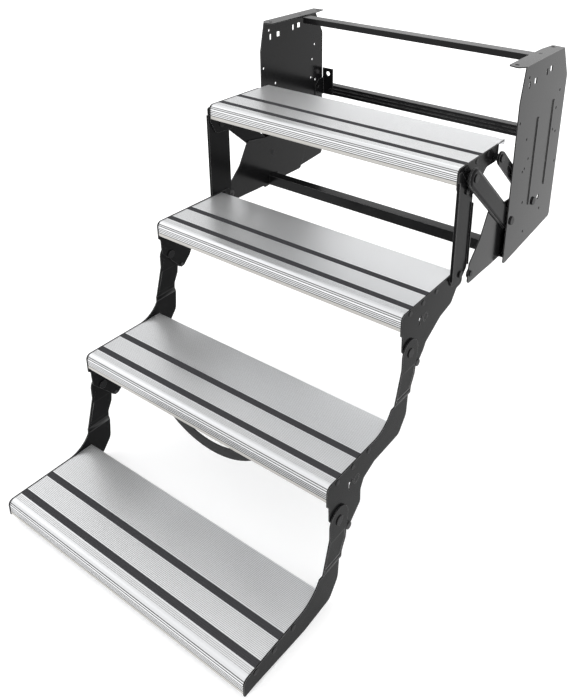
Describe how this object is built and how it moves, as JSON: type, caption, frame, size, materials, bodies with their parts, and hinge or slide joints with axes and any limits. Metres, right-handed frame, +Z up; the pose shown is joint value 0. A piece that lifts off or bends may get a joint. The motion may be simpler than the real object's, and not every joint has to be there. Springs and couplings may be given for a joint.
{
  "type": "folding camper entry step",
  "caption": "Fold-up entry step for a camper: side box with bolt flanges, swinging arms and legs, ribbed aluminium treads on curved hinged arms, rubber grip strips.",
  "frame": {"origin": "middle of the four mounting bolts, on the top face of the side flanges", "axes": "+Z up, towards the vehicle floor the flanges bolt to; +Y back under the vehicle, so the steps come down towards -Y; +X across, to the right when facing up the steps' back"},
  "size_m": [0.654, 1.0645, 0.8374],
  "materials": {
    "black_steel": "gloss black paint",
    "pin_steel": "black coated",
    "tread_aluminium": "ribbed mill finish",
    "grip_rubber": "matt",
    "bumper_rubber": "matt",
    "strap_rubber": "smooth"
  },
  "bodies": {
    "box": {"side_plate_left": "black_steel", "side_plate_right": "black_steel", "top_cross_bar": "black_steel", "top_bar_rivets": "pin_steel", "mid_cross_channel": "black_steel", "channel_brackets": "black_steel", "channel_rivets": "pin_steel", "lower_cross_bar": "black_steel", "lower_bar_bolts": "pin_steel", "lower_bracket_left": "black_steel", "lower_bracket_right": "black_steel", "rest_pads": "bumper_rubber", "rest_bolts": "pin_steel", "front_arm_foot_pins": "pin_steel", "rear_arm_foot_pins": "pin_steel"},
    "front_arms": {"front_arm_left": "black_steel", "front_arm_right": "black_steel"},
    "rear_arms": {"rear_arm_left": "black_steel", "rear_arm_right": "black_steel"},
    "step_1": {"tread_1": "tread_aluminium", "grip_strips_1": "grip_rubber", "tread_rivets_1": "pin_steel", "step_1_plate_left": "black_steel", "step_1_plate_right": "black_steel", "front_arm_top_pins": "pin_steel", "rear_arm_top_pins": "pin_steel", "leg_top_pins": "pin_steel"},
    "legs": {"leg_left": "black_steel", "leg_right": "black_steel"},
    "step_2": {"tread_2": "tread_aluminium", "grip_strips_2": "grip_rubber", "tread_rivets_2": "pin_steel", "step_2_plate_left": "black_steel", "step_2_plate_right": "black_steel", "leg_foot_pins": "pin_steel", "fold_pins_3": "pin_steel", "stop_bumpers_3": "bumper_rubber"},
    "step_3": {"tread_3": "tread_aluminium", "grip_strips_3": "grip_rubber", "tread_rivets_3": "pin_steel", "step_3_arm_plate_left": "black_steel", "step_3_arm_plate_right": "black_steel", "fold_pins_4": "pin_steel", "stop_bumpers_4": "bumper_rubber", "pull_strap": "strap_rubber"},
    "step_4": {"tread_4": "tread_aluminium", "grip_strips_4": "grip_rubber", "tread_rivets_4": "pin_steel", "step_4_arm_plate_left": "black_steel", "step_4_arm_plate_right": "black_steel"}
  },
  "joints": [
    {"name": "fold", "type": "hinge", "parent": "box", "child": "front_arms", "pos_m": [0, -0.087, -0.323], "axis": [-1, 0, 0], "range_deg": [0, 65.7]},
    {"name": "rear_arm_swing", "type": "hinge", "parent": "box", "child": "rear_arms", "pos_m": [0, 0.023, -0.319], "axis": [-1, 0, 0], "range_deg": [0, 65.7]},
    {"name": "step_1_level", "type": "hinge", "parent": "front_arms", "child": "step_1", "pos_m": [0, -0.263, -0.171], "axis": [1, 0, 0], "range_deg": [0, 65.7]},
    {"name": "leg_swing", "type": "hinge", "parent": "step_1", "child": "legs", "pos_m": [0, -0.269, -0.197], "axis": [1, 0, 0], "range_deg": [0, 50]},
    {"name": "step_2_level", "type": "hinge", "parent": "legs", "child": "step_2", "pos_m": [0, -0.269, -0.371], "axis": [-1, 0, 0], "range_deg": [0, 50]},
    {"name": "step_3_fold", "type": "hinge", "parent": "step_2", "child": "step_3", "pos_m": [0, -0.447, -0.4485], "axis": [-1, 0, 0], "range_deg": [0, 95]},
    {"name": "step_4_fold", "type": "hinge", "parent": "step_3", "child": "step_4", "pos_m": [0, -0.66, -0.664], "axis": [-1, 0, 0], "range_deg": [0, 180]}
  ],
  "couplings": [
    {"joint": "rear_arm_swing", "follows": "fold", "ratio": 1},
    {"joint": "step_1_level", "follows": "fold", "ratio": 1},
    {"joint": "leg_swing", "follows": "fold", "ratio": 0.76104},
    {"joint": "step_2_level", "follows": "fold", "ratio": 0.76104},
    {"joint": "step_3_fold", "follows": "fold", "ratio": 1.446}
  ]
}
